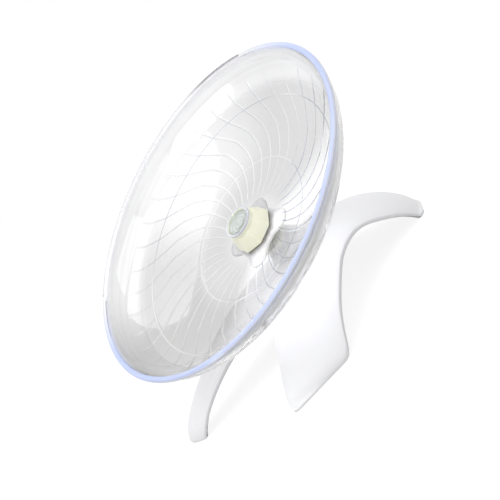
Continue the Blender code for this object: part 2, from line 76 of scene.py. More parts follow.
def spinProfile(name, points, steps, closed=True):
    # a circle's vertices become the profile, which is then spun round Z
    deselectAll()
    bpy.ops.mesh.primitive_circle_add(vertices=len(points), radius=1, fill_type="NOTHING")
    thing = bpy.context.object
    thing.name = name
    thing.data.name = name
    last = len(points) - 1
    for vertex, (radius, height) in zip(thing.data.vertices, points):
        vertex.co = (radius, 0, height)
    if not closed:
        bpy.ops.object.mode_set(mode="EDIT")
        bpy.ops.mesh.select_all(action="DESELECT")
        bpy.ops.mesh.select_mode(type="EDGE")
        bpy.ops.object.mode_set(mode="OBJECT")
        for edge in thing.data.edges:
            edge.select = set(edge.vertices) == {0, last}
        bpy.ops.object.mode_set(mode="EDIT")
        bpy.ops.mesh.delete(type="EDGE")
        bpy.ops.mesh.select_mode(type="VERT")
        bpy.ops.object.mode_set(mode="OBJECT")
    bpy.ops.object.mode_set(mode="EDIT")
    bpy.ops.mesh.select_all(action="SELECT")
    bpy.ops.mesh.spin(steps=steps, angle=2 * math.pi, center=(0, 0, 0), axis=(0, 0, 1))
    bpy.ops.mesh.select_all(action="SELECT")
    bpy.ops.mesh.remove_doubles(threshold=0.00001)
    bpy.ops.mesh.select_all(action="SELECT")
    bpy.ops.mesh.normals_make_consistent(inside=False)
    bpy.ops.object.mode_set(mode="OBJECT")
    return thing


def applyModifiers(thing):
    takeOnly(thing)
    for modifier in list(thing.modifiers):
        bpy.ops.object.modifier_apply(modifier=modifier.name)


def smoothShade(thing, degrees):
    takeOnly(thing)
    bpy.ops.object.shade_smooth_by_angle(angle=math.radians(degrees))


def paint(thing, *materials):
    thing.data.materials.clear()
    for material in materials:
        thing.data.materials.append(material)


def paintNode(name, material):
    paint(frame["nodes"][name], material)


def clamp(value):
    return min(max(value, 0), 1)


def fade(value, width):
    # 0 up to zero, then softly up to 1 over the width
    t = clamp(value / width)
    return t * t * (3 - 2 * t)


def blendColor(first, second, share):
    return tuple(a + (b - a) * share for a, b in zip(first, second))


# Materials

def newMaterial(name):
    material = bpy.data.materials.new(name)
    material.use_nodes = True
    tree = material.node_tree
    return material, tree, tree.nodes["Principled BSDF"]


def addNoise(tree, scale, detail=4):
    place = tree.nodes.new("ShaderNodeTexCoord")
    noise = tree.nodes.new("ShaderNodeTexNoise")
    noise.inputs["Scale"].default_value = scale
    noise.inputs["Detail"].default_value = detail
    noise.inputs["Roughness"].default_value = 0.5
    tree.links.new(place.outputs["Object"], noise.inputs["Vector"])
    return noise


def addRamp(tree, source, low, high, start=0.35, end=0.65):
    ramp = tree.nodes.new("ShaderNodeValToRGB")
    ramp.color_ramp.elements[0].position = start
    ramp.color_ramp.elements[0].color = low
    ramp.color_ramp.elements[1].position = end
    ramp.color_ramp.elements[1].color = high
    tree.links.new(source, ramp.inputs["Fac"])
    return ramp


def addBump(tree, shader, source, strength, distance):
    bump = tree.nodes.new("ShaderNodeBump")
    bump.inputs["Strength"].default_value = strength
    bump.inputs["Distance"].default_value = distance
    tree.links.new(source, bump.inputs["Height"])
    tree.links.new(bump.outputs["Normal"], shader.inputs["Normal"])
    return bump


def grey(value):
    return (value, value, value, 1)


def makeClearPlastic(name, color, rough, waves, clearness=1.0, tintLayer=None):
    material, tree, shader = newMaterial(name)
    shader.inputs["Base Color"].default_value = (*color, 1)
    shader.inputs["IOR"].default_value = 1.14
    shader.inputs["Transmission Weight"].default_value = clearness
    shader.inputs["Coat Weight"].default_value = 1
    shader.inputs["Coat IOR"].default_value = 1.7
    shader.inputs["Coat Roughness"].default_value = 0.03
    worn = addRamp(tree, addNoise(tree, 45).outputs["Fac"], grey(rough[0]), grey(rough[1]))
    tree.links.new(worn.outputs["Color"], shader.inputs["Roughness"])
    bump = addBump(tree, shader, addNoise(tree, 28, 2).outputs["Fac"], waves, 0.0006)
    tree.links.new(bump.outputs["Normal"], shader.inputs["Coat Normal"])
    # lets lamps shine through the clear wall
    path = tree.nodes.new("ShaderNodeLightPath")
    through = tree.nodes.new("ShaderNodeBsdfTransparent")
    through.inputs["Color"].default_value = (*color, 1)
    mix = tree.nodes.new("ShaderNodeMixShader")
    output = tree.nodes["Material Output"]
    if tintLayer:
        # the layer's colour is the plastic's tint with painted reflections, highlights and shade
        layer = tree.nodes.new("ShaderNodeVertexColor")
        layer.layer_name = tintLayer
        clouds = addRamp(tree, addNoise(tree, 16, 3).outputs["Fac"], grey(0.965), grey(1))
        tint = tree.nodes.new("ShaderNodeMix")
        tint.data_type = "RGBA"
        tint.blend_type = "MULTIPLY"
        tint.inputs["Factor"].default_value = 1
        tree.links.new(layer.outputs["Color"], tint.inputs["A"])
        tree.links.new(clouds.outputs["Color"], tint.inputs["B"])
        tree.links.new(tint.outputs["Result"], shader.inputs["Base Color"])
        tree.links.new(tint.outputs["Result"], through.inputs["Color"])
    tree.links.new(path.outputs["Is Shadow Ray"], mix.inputs["Fac"])
    tree.links.new(shader.outputs["BSDF"], mix.inputs[1])
    tree.links.new(through.outputs["BSDF"], mix.inputs[2])
    tree.links.new(mix.outputs["Shader"], output.inputs["Surface"])
    return material


def makeMouldedPlastic(name, darker, lighter, rough, grain, sub=0.0, clouds=9):
    material, tree, shader = newMaterial(name)
    tint = addRamp(tree, addNoise(tree, clouds, 5).outputs["Fac"], (*darker, 1), (*lighter, 1), 0.3, 0.7)
    tree.links.new(tint.outputs["Color"], shader.inputs["Base Color"])
    worn = addRamp(tree, addNoise(tree, 60).outputs["Fac"], grey(rough[0]), grey(rough[1]))
    tree.links.new(worn.outputs["Color"], shader.inputs["Roughness"])
    addBump(tree, shader, addNoise(tree, 900, 3).outputs["Fac"], grain, 0.00005)
    shader.inputs["Subsurface Weight"].default_value = sub
    shader.inputs["Subsurface Radius"].default_value = (0.002, 0.002, 0.002)
    return material


def makeMetal(name, color, rough):
    material, tree, shader = newMaterial(name)
    stained = tuple(part * 0.82 for part in color)
    tint = addRamp(tree, addNoise(tree, 140, 6).outputs["Fac"], (*stained, 1), (*color, 1))
    tree.links.new(tint.outputs["Color"], shader.inputs["Base Color"])
    shader.inputs["Metallic"].default_value = 1
    worn = addRamp(tree, addNoise(tree, 350).outputs["Fac"], grey(rough * 0.8), grey(rough * 1.3))
    tree.links.new(worn.outputs["Color"], shader.inputs["Roughness"])
    addBump(tree, shader, addNoise(tree, 1500).outputs["Fac"], 0.08, 0.00002)
    return material


finish = {
    # the plastic's grey tint, partly painted shade
    "bowlGrey": (0.66, 0.66, 0.665),
    # painted shade on one side of the bowl
    "bowlPaintedShade": (0.56, 0.555, 0.555),
    # painted reflection
    "bowlPaintedReflection": (0.91, 0.91, 0.915),
    # painted light where the bowl is made clearer
    "bowlPaintedLight": (0.97, 0.97, 0.98),
    # painted highlight along the ribs
    "ribPaintedHighlight": (1.0, 1.0, 1.0),
    # painted dark lines along the ribs on one side
    "ribPaintedDarkLine": (0.15, 0.19, 0.36),
    # painted grey lines along the ribs on another side
    "ribPaintedGreyLine": (0.5, 0.52, 0.6),
    # painted shade on the outer ring on that side
    "ringPaintedShade": (0.3, 0.32, 0.4),
    # painted shade beside each rib
    "ribSidePaintedShade": (0.76, 0.76, 0.775),
    # painted blue highlight on the lip
    "edgeBlueHighlight": (0.46, 0.55, 0.93),
    # painted lighter middle of that highlight
    "edgeSkyHighlight": (0.66, 0.74, 0.97),
    "edgeClear": (0.86, 0.86, 0.88),
    # painted shade on the lip's outer edge
    "edgePaintedShade": (0.18, 0.18, 0.2),
    "lensTint": (0.93, 0.96, 1.0),
    "lensEdge": (0.72, 0.74, 0.83),
    "creamDark": (0.93, 0.93, 0.71),
    "creamLight": (0.98, 0.98, 0.82),
    "standDark": (0.84, 0.84, 0.855),
    "standLight": (0.88, 0.88, 0.89),
    "frostDark": (0.93, 0.93, 0.95),
    "frostLight": (0.99, 0.99, 1),
    "badgeRidge": (0.3, 0.31, 0.24),
    "badgeDark": (0.46, 0.47, 0.4),
    "badgeLight": (0.62, 0.63, 0.55),
    # painted contact shadow under the knob
    "contactShadowDark": (0.2, 0.16, 0.08),
    "steel": (0.62, 0.62, 0.64),
    "brass": (0.72, 0.56, 0.3),
}
clearPlastic = makeClearPlastic("clearPlastic", finish["bowlGrey"], rough=(0.0, 0.03), waves=0.08,
                                tintLayer="bowlTintAndPaintedLight")
# the lip's material where the painted blue highlight lies
edgePlastic = makeClearPlastic("edgePlastic", finish["edgeBlueHighlight"], rough=(0.02, 0.08), waves=0.08,
                               clearness=0.15, tintLayer="bowlTintAndPaintedLight")
hazyPlastic = makeClearPlastic("hazyPlastic", finish["bowlGrey"], rough=(0.14, 0.2), waves=0.04,
                               clearness=0.6, tintLayer="bowlTintAndPaintedLight")
lensPlastic = makeClearPlastic("lensPlastic", finish["lensTint"], rough=(0.0, 0.03), waves=0.05)
lensEdgePlastic = makeClearPlastic("lensEdgePlastic", finish["lensEdge"], rough=(0.05, 0.12), waves=0.05,
                                   clearness=0.25)
creamPlastic = makeMouldedPlastic("creamPlastic", finish["creamDark"], finish["creamLight"],
                                  rough=(0.25, 0.4), grain=0.06, sub=0.1, clouds=90)
whitePlastic = makeMouldedPlastic("whitePlastic", finish["standDark"], finish["standLight"],
                                  rough=(0.3, 0.42), grain=0.08)
badgePlastic = makeMouldedPlastic("badgePlastic", finish["badgeDark"], finish["badgeLight"],
                                  rough=(0.3, 0.5), grain=0.1, clouds=220)
frostPlastic = makeMouldedPlastic("frostPlastic", finish["frostDark"], finish["frostLight"],
                                  rough=(0.2, 0.35), grain=0.05, sub=0.2, clouds=120)
ridgePlastic = makeMouldedPlastic("ridgePlastic", finish["badgeRidge"], finish["badgeDark"],
                                  rough=(0.3, 0.5), grain=0.1, clouds=220)
# painted contact shadow round the knob's base
contactShadowPlastic = makeMouldedPlastic("contactShadowPlastic", finish["contactShadowDark"], finish["contactShadowDark"],
                                 rough=(0.4, 0.6), grain=0.1)
steel = makeMetal("groundSteel", finish["steel"], 0.25)
brass = makeMetal("cageBrass", finish["brass"], 0.3)
print("materials made")


# Saucer bowl. Its colour layer paints reflections, highlights and shade on the clear plastic,
# zone by zone. A zone is a side of it: full where the cosine of the angle from its middle is
# over high, and gone where that is under low. Outwards it starts or ends at a share of the
# mouth, or for the lip of its width, and fades over another.

saucer = {
    "mouthRadius": 0.087,
    "depth": 0.0303,
    "curvePower": 2.12,
    "wall": 0.0022,
    "lipWidth": 0.0033,
    "lipHeight": 0.0024,
    "holeRadius": 0.0093,
    "ribs": 34,
    "ribHeight": 0.00028,
    "ribHalfWidth": 0.00043,
    "ribStart": 0.0205,
    "ribEnd": 0.0823,
    "ribFadeIn": 0.003,
    "ribFadeOut": 0.004,
    "ringRadii": (0.0395, 0.0703),
    "ringHeight": 0.0002,
    "ringHalfWidth": 0.00042,
    "ribColumns": (-1.0, -0.6, -0.3, 0.0, 0.3, 0.6, 1.0),
    "troughColumns": (0.07, 0.2, 0.4, 0.6, 0.8, 0.93),
    "innerRows": 70,
    "outerRows": 26,
    "lipRows": 12,
    "ringGap": 1.4,
    "lipStart": (0.3, 0.25),
    "lipMargin": 0.2,
    "lipDrop": 1.1,
    "outerStart": 0.6,
    "outerTop": 0.996,
    "swirlAngle": -24.5,
    "swirlRadii": (0.0, 0.24, 0.3, 0.39, 0.49, 0.64, 0.71, 0.78, 0.87, 1.0),
    "swirlShares": (0.78, 0.82, 0.98, 1.0, 0.92, 0.61, 0.37, 0.16, 0.0, 0.0),
    "ribPhase": math.radians(-0.9),
    "blueLeast": 0.02,
    "blueEdge": 0.0002,
    "hazeFrom": 0.9,
    "farAway": 9,
    "smooth": 60,
    # width of the painted rib lines, and where the painted shade beside each rib lies
    "lines": {"width": 0.9, "fadeOut": 0.002, "valleyAt": 1.0, "valleyWidth": 0.7, "darkRing": 0.6},
    "rimLines": {"at": (0.948, 0.972), "halfWidth": 0.006, "darker": 0.16},
    # side of the lip with the painted blue highlight
    "blueHighlight": {"middle": math.radians(-55), "low": -0.62, "high": 0.0},
    # sides of the bowl's wall with painted reflections, painted shade and painted light
    "pale": {"middle": math.radians(158), "low": -0.2, "high": 0.8, "start": 0.3, "over": 0.3},
    "dusk": {"middle": math.radians(222), "low": -0.1, "high": 0.7, "start": 0.3, "over": 0.25},
    "clear": {"middle": math.radians(-50), "low": 0.35, "high": 0.75, "end": 0.97, "over": 0.2},
    "aroundHub": {"end": 0.27, "over": 0.1, "strength": 0.3},
    "rim": {"middle": math.radians(110), "low": -0.3, "high": 0.4, "start": 0.86, "over": 0.06,
            "strength": 0.8},
    "clearRim": {"middle": math.radians(-50), "low": 0.0, "high": 0.5, "start": 0.9, "over": 0.06,
                 "strength": 0.9},
    # sides where the rib lines are painted dark lines and painted grey lines
    "dark": {"middle": math.radians(-32), "low": 0.65, "high": 0.9, "widening": 0.6},
    "mist": {"middle": math.radians(115), "low": 0.35, "high": 0.75, "start": 0.5, "over": 0.15},
    # sides of the lip with a painted dark outer edge
    "edgeDarks": (
        {"middle": math.radians(204), "low": 0.88, "high": 0.96, "start": 0.8, "over": 0.15},
        {"middle": math.radians(72), "low": 0.88, "high": 0.96, "start": 0.8, "over": 0.15},
    ),
    # width of the painted blue highlight across the lip, and its lighter middle
    "blueBand": {"start": -0.1, "startOver": 0.2, "end": 1.12, "endOver": 0.4, "sky": 1.2},
}


def bowlHeight(radius):
    power = saucer["curvePower"]
    share = min(radius / saucer["mouthRadius"], 1)
    return saucer["depth"] * (1 - (1 - share ** power) ** (1 / power))


def bowlNormal(radius):
    power = saucer["curvePower"]
    share = min(radius / saucer["mouthRadius"], 1)
    across = saucer["depth"] * share ** (power - 1)
    upward = saucer["mouthRadius"] * (1 - share ** power) ** (1 - 1 / power)
    size = math.hypot(across, upward)
    return -across / size, upward / size


def blendTable(value, places, amounts):
    for i in range(len(places) - 1):
        if value <= places[i + 1]:
            t = (value - places[i]) / (places[i + 1] - places[i])
            before = amounts[max(i - 1, 0)]
            after = amounts[min(i + 2, len(amounts) - 1)]
            slopeStart = (amounts[i + 1] - before) / 2
            slopeEnd = (after - amounts[i]) / 2
            return ((2 * t ** 3 - 3 * t ** 2 + 1) * amounts[i] + (t ** 3 - 2 * t ** 2 + t) * slopeStart
                    + (3 * t ** 2 - 2 * t ** 3) * amounts[i + 1] + (t ** 3 - t ** 2) * slopeEnd)
    return amounts[-1]


def swirlTurn(radius):
    share = radius / (saucer["mouthRadius"] + saucer["lipWidth"])
    return math.radians(saucer["swirlAngle"]) * blendTable(share, saucer["swirlRadii"], saucer["swirlShares"])


def bowlRows():
    mouth = saucer["mouthRadius"]
    hole = saucer["holeRadius"]
    rows = []
    for i in range(saucer["innerRows"]):
        angle = math.pi / 2 * i / saucer["innerRows"]
        rows.append(hole + (mouth - hole) * math.sin(angle))
    for ring in saucer["ringRadii"]:
        gap = saucer["ringHalfWidth"] * saucer["ringGap"]
        rows = [radius for radius in rows if abs(radius - ring) > gap]
        rows += [ring + saucer["ringHalfWidth"] * place for place in saucer["ribColumns"]]
    return sorted(rows)


def saucerProfile():
    mouth = saucer["mouthRadius"]
    points = [(radius, bowlHeight(radius)) for radius in bowlRows()]
    top = saucer["depth"]
    half = saucer["lipHeight"] / 2
    middle = top - half
    outer = mouth + saucer["lipWidth"] - half
    points.append((mouth + half * saucer["lipStart"][0], top - half * saucer["lipStart"][1]))
    for i in range(saucer["lipRows"] + 1):
        angle = math.pi / 2 - math.pi * i / saucer["lipRows"]
        points.append((outer + half * math.cos(angle), middle + half * math.sin(angle)))
    for i in range(saucer["outerRows"]):
        angle = math.pi / 2 * (1 - (i + saucer["outerStart"]) / saucer["outerRows"])
        widest = mouth * saucer["outerTop"]
        radius = saucer["holeRadius"] + (widest - saucer["holeRadius"]) * math.sin(angle)
        inward, upward = bowlNormal(radius)
        points.append((radius - inward * saucer["wall"], bowlHeight(radius) - upward * saucer["wall"]))
    points.append((saucer["holeRadius"], -saucer["wall"]))
    return points


def sidedShare(angle, zone, widening=0):
    # 1 on the side that faces the zone's middle, 0 on the other
    low = zone["low"] - widening
    high = zone["high"] - widening
    t = clamp((math.cos(angle - zone["middle"]) - low) / (high - low))
    return t * t * (3 - 2 * t)


def zoneShare(angle, share, zone):
    if "start" in zone:
        return sidedShare(angle, zone) * fade(share - zone["start"], zone["over"])
    return sidedShare(angle, zone) * fade(zone["end"] - share, zone["over"])


def lipColor(radius, angle):
    band = saucer["blueBand"]
    out = (radius - saucer["mouthRadius"]) / saucer["lipWidth"]
    # a painted blue highlight band on one side of the lip, lighter in its middle, over the lip's pale tint
    sky = math.sin(math.pi * clamp(out * band["sky"])) ** 2
    shade = blendColor(finish["edgeBlueHighlight"], finish["edgeSkyHighlight"], sky)
    width = fade(out - band["start"], band["startOver"]) * fade(band["end"] - out, band["endOver"])
    color = blendColor(finish["edgeClear"], shade, sidedShare(angle, saucer["blueHighlight"]) * width)
    # painted dark outer edges on two sides of the lip
    for zone in saucer["edgeDarks"]:
        color = blendColor(color, finish["edgePaintedShade"], zoneShare(angle, out, zone))
    return color


def wallColor(share, angle):
    # the colour of the bowl's wall between its ribs: the grey is the plastic's tint and partly painted shade,
    # the dusk zone is painted shade, the pale and rim zones are painted reflections, and the clear zone and
    # the ring round the hub are painted light
    color = blendColor(finish["bowlGrey"], finish["bowlPaintedReflection"], zoneShare(angle, share, saucer["pale"]))
    color = blendColor(color, finish["bowlPaintedShade"], zoneShare(angle, share, saucer["dusk"]))
    hub = saucer["aroundHub"]
    clear = max(zoneShare(angle, share, saucer["clear"]),
                fade(hub["end"] - share, hub["over"]) * hub["strength"])
    color = blendColor(color, finish["bowlPaintedLight"], clear)
    rim = max(zoneShare(angle, share, saucer["rim"]),
              zoneShare(angle, share, saucer["clearRim"]) * saucer["clearRim"]["strength"])
    color = blendColor(color, finish["bowlPaintedReflection"], rim * saucer["rim"]["strength"])
    rimLines = saucer["rimLines"]
    for place in rimLines["at"]:
        near = max(1 - abs(share - place) / rimLines["halfWidth"], 0)
        color = tuple(part * (1 - rimLines["darker"] * near) for part in color)
    return color


def bowlColor(radius, angle, across, ringAway):
    share = radius / saucer["mouthRadius"]
    color = wallColor(share, angle)
    lines = saucer["lines"]
    line = max(1 - abs(across) / lines["width"], 0)
    # a soft painted shade runs along one side of each rib
    valley = max(1 - abs(across - lines["valleyAt"]) / lines["valleyWidth"], 0)
    if ringAway < 1:
        line = max(line, 1 - ringAway / lines["width"])
    ends = (fade(radius - saucer["ribStart"], saucer["ribFadeIn"])
            * fade(saucer["ribEnd"] - radius, lines["fadeOut"]))
    dark = sidedShare(angle, saucer["dark"], share * saucer["dark"]["widening"])
    shadow = tuple(a * b for a, b in zip(color, finish["ribSidePaintedShade"]))
    color = blendColor(color, shadow, valley * ends * (1 - dark))
    # the rib and ring lines are a painted highlight, turning into painted dark lines and painted grey lines
    # on their own sides of the bowl
    isDarkRing = ringAway < 1 and share > lines["darkRing"]
    soft = finish["ringPaintedShade"] if isDarkRing else finish["ribPaintedGreyLine"]
    tone = blendColor(finish["ribPaintedHighlight"], soft, zoneShare(angle, share, saucer["mist"]))
    tone = blendColor(tone, finish["ribPaintedDarkLine"], dark)
    return blendColor(color, tone, line * ends)


def makeSaucer():
    ribColumns = saucer["ribColumns"]
    perRib = len(ribColumns) + len(saucer["troughColumns"])
    columns = perRib * saucer["ribs"]
    bowl = spinProfile("saucerBowl", saucerProfile(), columns)
    # the colour layer holds the plastic's tint with painted reflections, highlights and shade
    tints = bowl.data.color_attributes.new("bowlTintAndPaintedLight", "FLOAT_COLOR", "POINT")
    pitch = 2 * math.pi / saucer["ribs"]
    mouth = saucer["mouthRadius"]
    lipFloor = saucer["depth"] - saucer["lipHeight"] * saucer["lipDrop"]
    for vertex in bowl.data.vertices:
        x, y, height = vertex.co
        radius = math.hypot(x, y)
        column = round(math.atan2(y, x) / (2 * math.pi) * columns) % columns
        rib, place = divmod(column, perRib)
        ribSpread = saucer["ribHalfWidth"] / radius
        if place < len(ribColumns):
            across = ribColumns[place]
            offset = across * ribSpread
            swell = (1 + math.cos(math.pi * across)) / 2
        else:
            step = saucer["troughColumns"][place - len(ribColumns)]
            offset = ribSpread + (pitch - 2 * ribSpread) * step
            across = saucer["farAway"]
            swell = 0
        # the columns are evenly spaced again at the lip
        even = pitch * (place - len(ribColumns) // 2) / perRib
        spread = fade(radius - saucer["ribEnd"], mouth - saucer["ribEnd"])
        offset += (even - offset) * spread
        angle = saucer["ribPhase"] + rib * pitch + offset + swirlTurn(radius)
        inside = radius < mouth and height > bowlHeight(radius) - saucer["wall"] / 2
        rise = 0
        ringAway = saucer["farAway"]
        if inside:
            ends = (fade(radius - saucer["ribStart"], saucer["ribFadeIn"])
                    * fade(saucer["ribEnd"] - radius, saucer["ribFadeOut"]))
            rise = saucer["ribHeight"] * swell * ends
            for ring in saucer["ringRadii"]:
                away = abs(radius - ring) / saucer["ringHalfWidth"]
                if away < 1:
                    rise = max(rise, saucer["ringHeight"] * (1 + math.cos(math.pi * away)) / 2)
                    ringAway = away
        else:
            across = saucer["farAway"]
        if radius > mouth - saucer["wall"] * saucer["lipMargin"] and height > lipFloor:
            color = lipColor(radius, angle)
        else:
            color = bowlColor(radius, angle, across, ringAway)
        tints.data[vertex.index].color = (*color, 1)
        inward, upward = bowlNormal(radius)
        radius += inward * rise
        height += upward * rise
        vertex.co = (radius * math.cos(angle), radius * math.sin(angle), height)
    paint(bowl, clearPlastic, edgePlastic, hazyPlastic)
    for polygon in bowl.data.polygons:
        middle = polygon.center
        away = math.hypot(middle.x, middle.y)
        # faces under the painted blue highlight take the lip's material
        blueHighlight = sidedShare(math.atan2(middle.y, middle.x), saucer["blueHighlight"])
        if blueHighlight > saucer["blueLeast"] and away > mouth + saucer["blueEdge"] and middle.z > lipFloor:
            polygon.material_index = 1
        elif away > mouth * saucer["hazeFrom"] and polygon.normal.z < 0:
            polygon.material_index = 2
    bowl.data.transform(axlePlace)
    smoothShade(bowl, saucer["smooth"])
    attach(bowl, "saucer")
    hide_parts("saucer_dish")


makeSaucer()
print("saucer made")


# Hub knob, its face and the clear cap

knob = {
    "height": 0.011,
    "faceRadius": 0.0084,
    "faceLip": 0.0005,
    "waistRadius": 0.0087,
    "waistHeight": 0.0068,
    "skirt": ((0.0091, 0.0056), (0.0095, 0.0042), (0.0101, 0.0029), (0.0108, 0.0019), (0.0113, 0.0014),
              (0.0116, 0.001), (0.0116, 0.0002)),
    "bottom": 0.0002,
    "sides": 8,
    "nutRadius": 0.0131,
    "nutTopRadius": 0.0092,
    "nutHeight": 0.0079,
    "nutLift": 0.0003,
    "nutTurn": -22.5,
    "bevel": 0.0003,
    "smooth": 14,
    "recessRadius": 0.0075,
    "recessDepth": 0.0026,
    # top of the painted contact shadow band
    "contactShadowTop": 0.00085,
    "steps": 96,
}


def makeKnob():
    top = knob["height"]
    lip = knob["faceLip"]
    core = spinProfile("hubKnob", [
        (0, top - knob["recessDepth"]), (knob["recessRadius"], top - knob["recessDepth"]),
        (knob["recessRadius"], top - lip), (knob["recessRadius"] + lip, top), (knob["faceRadius"] - lip, top),
        (knob["faceRadius"], top - lip), (knob["waistRadius"], knob["waistHeight"]), *knob["skirt"],
        (0, knob["bottom"])], knob["steps"], closed=False)
    deselectAll()
    bpy.ops.mesh.primitive_cone_add(vertices=knob["sides"], radius1=knob["nutRadius"],
                                    radius2=knob["nutTopRadius"], depth=knob["nutHeight"],
                                    location=(0, 0, knob["nutHeight"] / 2 + knob["nutLift"]),
                                    rotation=(0, 0, math.radians(knob["nutTurn"])))
    nut = bpy.context.object
    bpy.ops.object.transform_apply(location=True, rotation=True, scale=True)
    bpy.ops.object.mode_set(mode="EDIT")
    bpy.ops.mesh.select_all(action="SELECT")
    bpy.ops.mesh.bevel(offset=knob["bevel"], segments=2, affect="EDGES")
    bpy.ops.object.mode_set(mode="OBJECT")
    union = core.modifiers.new("nut", "BOOLEAN")
    union.operation = "UNION"
    union.solver = "EXACT"
    union.object = nut
    applyModifiers(core)
    bpy.data.objects.remove(nut, do_unlink=True)
    paint(core, creamPlastic, contactShadowPlastic)
    # the lowest band of the knob is a painted contact shadow against the bowl
    for polygon in core.data.polygons:
        if polygon.center.z < knob["contactShadowTop"]:
            polygon.material_index = 1
    core.data.transform(axlePlace)
    smoothShade(core, knob["smooth"])
    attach(core, "saucer")
    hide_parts("hub_housing")


hubFace = {
    "floor": 0.0087,
    "top": 0.0094,
    "radius": 0.0073,
    "rows": 70,
    "steps": 192,
    "ridges": (0.0065, 0.0053, 0.0034),
    "ridgeHeight": 0.00028,
    "ridgeHalfWidth": 0.0003,
    "flutes": 24,
    "fluteStart": 0.0006,
    "fluteEnd": 0.003,
    "fluteHeight": 0.00012,
    "topMargin": 0.0001,
    "flatShare": 0.99,
    "smooth": 50,
}


def makeFace():
    # a turned disc with plain raised rings and a fluted middle
    top = hubFace["top"]
    radius = hubFace["radius"]
    points = [(radius * i / hubFace["rows"], top) for i in range(hubFace["rows"] + 1)]
    points += [(radius, hubFace["floor"]), (0, hubFace["floor"])]
    disc = spinProfile("hubFace", points, hubFace["steps"], closed=False)
    start = hubFace["fluteStart"]
    end = hubFace["fluteEnd"]
    for vertex in disc.data.vertices:
        x, y, height = vertex.co
        radius = math.hypot(x, y)
        if height < top - hubFace["topMargin"] or radius > hubFace["radius"] * hubFace["flatShare"]:
            continue
        for ridge in hubFace["ridges"]:
            away = abs(radius - ridge) / hubFace["ridgeHalfWidth"]
            if away < 1:
                vertex.co.z += hubFace["ridgeHeight"] * (1 + math.cos(math.pi * away)) / 2
        if start < radius < end:
            swell = math.sin(math.pi * (radius - start) / (end - start))
            vertex.co.z += hubFace["fluteHeight"] * swell * math.cos(hubFace["flutes"] * math.atan2(y, x))
    paint(disc, badgePlastic, ridgePlastic)
    for polygon in disc.data.polygons:
        away = math.hypot(polygon.center.x, polygon.center.y)
        if min(abs(away - ridge) for ridge in hubFace["ridges"]) < hubFace["ridgeHalfWidth"]:
            polygon.material_index = 1
    disc.data.transform(axlePlace)
    smoothShade(disc, hubFace["smooth"])
    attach(disc, "saucer")
    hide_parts("hub_badge")


cap = {
    "ringOuter": 0.0085,
    "ringInner": 0.0075,
    "ringBottom": 0.0102,
    "ringTop": 0.0114,
    "glassThickness": 0.0007,
    "soft": 0.0004,
    "steps": 96,
    "smooth": 40,
}


def makeCap():
    outer = cap["ringOuter"]
    inner = cap["ringInner"]
    top = cap["ringTop"]
    soft = cap["soft"]
    glass = cap["glassThickness"]
    lens = spinProfile("hubCap", [
        (0, top - glass), (inner - soft, top - glass), (inner, top - soft / 2),
        (inner + soft, top), (outer - soft, top), (outer - soft * 0.3, top - soft * 0.3), (outer, top - soft),
        (outer, cap["ringBottom"]), (inner, cap["ringBottom"]), (inner - soft, top - glass * 2),
        (0, top - glass * 2)], cap["steps"], closed=False)
    paint(lens, lensPlastic, lensEdgePlastic)
    for polygon in lens.data.polygons:
        if math.hypot(polygon.center.x, polygon.center.y) > inner:
            polygon.material_index = 1
    lens.data.transform(axlePlace)
    smoothShade(lens, cap["smooth"])
    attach(lens, "saucer")
    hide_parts("hub_lens")


lockNut = {
    "bore": 0.0096,
    "ring": 0.0136,
    "reach": 0.0208,
    "lobes": 4,
    "turn": math.radians(-5),
    "spread": 23,
    "top": -0.0025,
    "bottom": -0.0049,
    "soft": 0.0008,
    "corner": ((1.5, 0), (0.6, 0.2), (0.1, 0.6), (0, 1.2)),
    "steps": 192,
    "smooth": 50,
}


def makeLockNut():
    bore = lockNut["bore"]
    ring = lockNut["ring"]
    soft = lockNut["soft"]
    top = lockNut["top"]
    bottom = lockNut["bottom"]
    points = [(bore, top), (0.5 * (bore + ring), top)]
    points += [(ring - soft * inset, top - soft * drop) for inset, drop in lockNut["corner"]]
    points += [(ring - soft * inset, bottom + soft * drop) for inset, drop in reversed(lockNut["corner"])]
    points.append((bore, bottom))
    nut = spinProfile("lockNut", points, lockNut["steps"])
    for vertex in nut.data.vertices:
        x, y, height = vertex.co
        radius = math.hypot(x, y)
        angle = math.atan2(y, x)
        # each lobe is a soft swelling round its own direction
        away = math.degrees((angle - lockNut["turn"]) * lockNut["lobes"])
        away = ((away + 180) % 360 - 180) / lockNut["lobes"]
        swell = math.exp(-(abs(away) / lockNut["spread"]) ** 3)
        share = (radius - bore) / (ring - bore)
        radius += (lockNut["reach"] - ring) * swell * max(share, 0)
        vertex.co = (radius * math.cos(angle), radius * math.sin(angle), height)
    paint(nut, frostPlastic)
    nut.data.transform(axlePlace)
    smoothShade(nut, lockNut["smooth"])
    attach(nut, "saucer")
    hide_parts("hub_lock_nut")


makeKnob()
makeFace()
makeCap()
makeLockNut()
print("hub made")


# Stand

